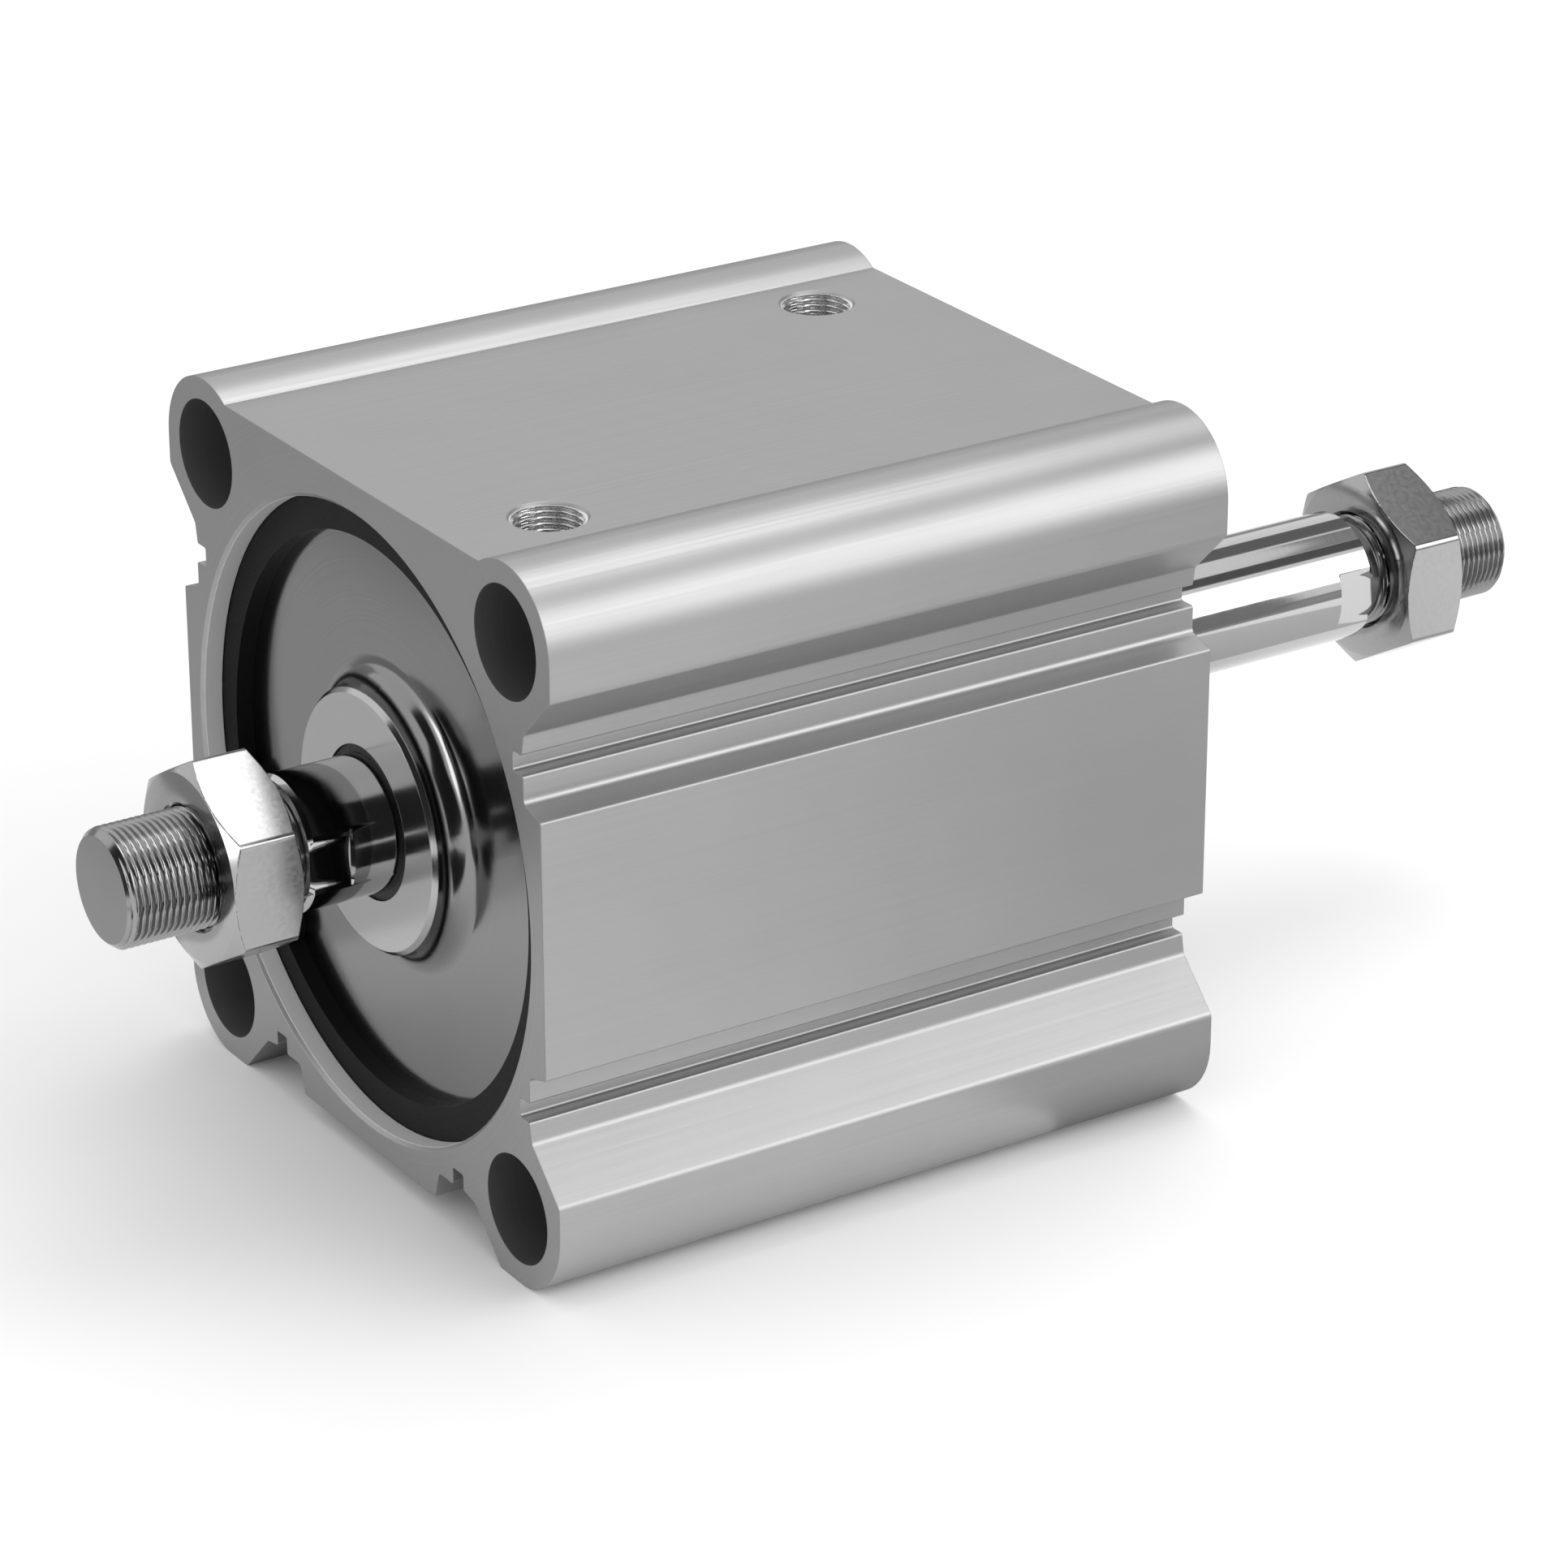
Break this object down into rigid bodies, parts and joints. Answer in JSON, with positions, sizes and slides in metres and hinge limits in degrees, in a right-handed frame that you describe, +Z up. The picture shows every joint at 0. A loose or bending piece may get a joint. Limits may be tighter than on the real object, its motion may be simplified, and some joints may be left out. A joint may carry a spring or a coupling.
{
  "type": "compact pneumatic cylinder",
  "caption": "Double-acting compact pneumatic cylinder: square grooved aluminium body, through piston rod with threaded ends and lock nuts, snap-ring covers, air ports on top.",
  "frame": {"origin": "where the rod axis meets the front mounting face", "axes": "+X along the rod towards the rear end, +Z up towards the air ports, +Y completes the right-handed frame"},
  "size_m": [0.36, 0.16, 0.16],
  "materials": {
    "tube_aluminium": "extruded, satin natural anodised",
    "cover_aluminium": "turned, satin natural anodised",
    "black_spring_steel": "phosphated spring steel, black",
    "black_rubber": "nitrile rubber, matt",
    "bronze": "sintered bronze bush",
    "piston_aluminium": "turned, bright",
    "guide_resin": "moulded guide resin",
    "magnet_rubber": "bonded magnet strip",
    "bumper_urethane": "moulded urethane",
    "hard_chrome": "ground and hard chrome plated steel",
    "plated_steel": "bright zinc plated steel"
  },
  "bodies": {
    "barrel": {"cylinder_tube": "tube_aluminium", "front_rod_cover": "cover_aluminium", "rear_rod_cover": "cover_aluminium", "front_retaining_ring": "black_spring_steel", "rear_retaining_ring": "black_spring_steel", "front_cover_gasket": "black_rubber", "rear_cover_gasket": "black_rubber", "front_rod_bush": "bronze", "rear_rod_bush": "bronze", "front_rod_seal": "black_rubber", "rear_rod_seal": "black_rubber"},
    "piston_rings": {"piston_seal": "black_rubber", "wear_ring": "guide_resin"},
    "rod": {"front_piston_rod": "hard_chrome", "rear_piston_rod": "hard_chrome", "piston": "piston_aluminium", "magnet_ring": "magnet_rubber", "front_bumper": "bumper_urethane", "rear_bumper": "bumper_urethane", "piston_gasket": "black_rubber"},
    "front_nut": {"front_lock_nut": "plated_steel"},
    "rear_nut": {"rear_lock_nut": "plated_steel"}
  },
  "joints": [
    {"name": "rod_slide", "type": "slide", "parent": "barrel", "child": "piston_rings", "axis": [-1, 0, 0], "range_m": [0, 0.075]},
    {"name": "rod_spin", "type": "hinge", "parent": "piston_rings", "child": "rod", "pos_m": [0, 0, 0], "axis": [1, 0, 0], "continuous": true},
    {"name": "front_nut_turn", "type": "hinge", "parent": "rod", "child": "front_nut", "pos_m": [-0.032, 0, 0], "axis": [1, 0, 0], "continuous": true},
    {"name": "rear_nut_turn", "type": "hinge", "parent": "rod", "child": "rear_nut", "pos_m": [0.272, 0, 0], "axis": [1, 0, 0], "continuous": true}
  ]
}
